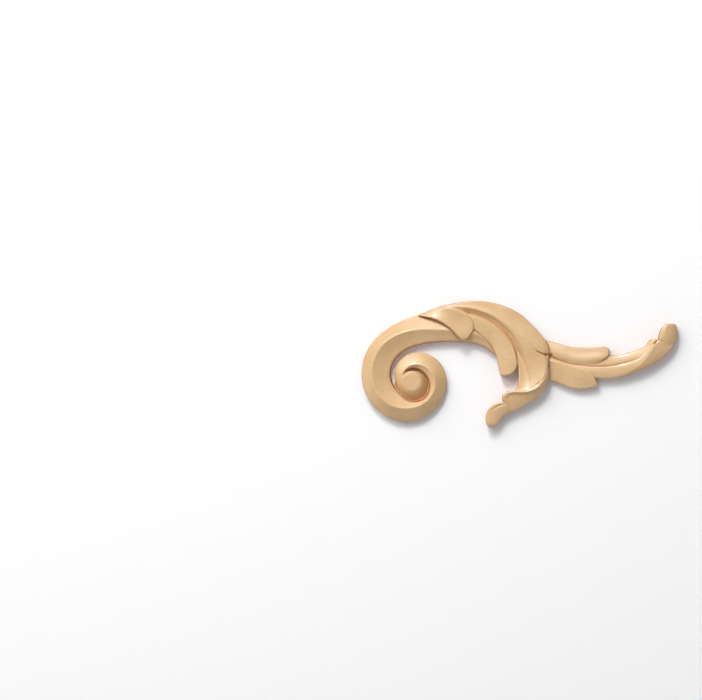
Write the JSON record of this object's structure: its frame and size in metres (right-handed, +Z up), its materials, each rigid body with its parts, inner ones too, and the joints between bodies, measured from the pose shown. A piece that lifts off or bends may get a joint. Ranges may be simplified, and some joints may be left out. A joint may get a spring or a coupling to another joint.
{
  "type": "scroll onlay",
  "caption": "Carved wooden scroll onlay with a flat back: a volute with an eye, wrapped by an acanthus leaf that runs on into a long curled leaf tail.",
  "frame": {"origin": "on the flat back, behind the great leaf, where the onlay is fixed to a panel", "axes": "+Y out of the flat back towards the panel, +X along the length from the volute to the tail's tip, +Z up; the carving faces -Y"},
  "size_m": [0.3162, 0.0181, 0.1268],
  "materials": {
    "wood": "pale hardwood, sanded and left unfinished, with a soft sheen"
  },
  "bodies": {
    "root": {"scroll_onlay": "wood"}
  },
  "joints": []
}
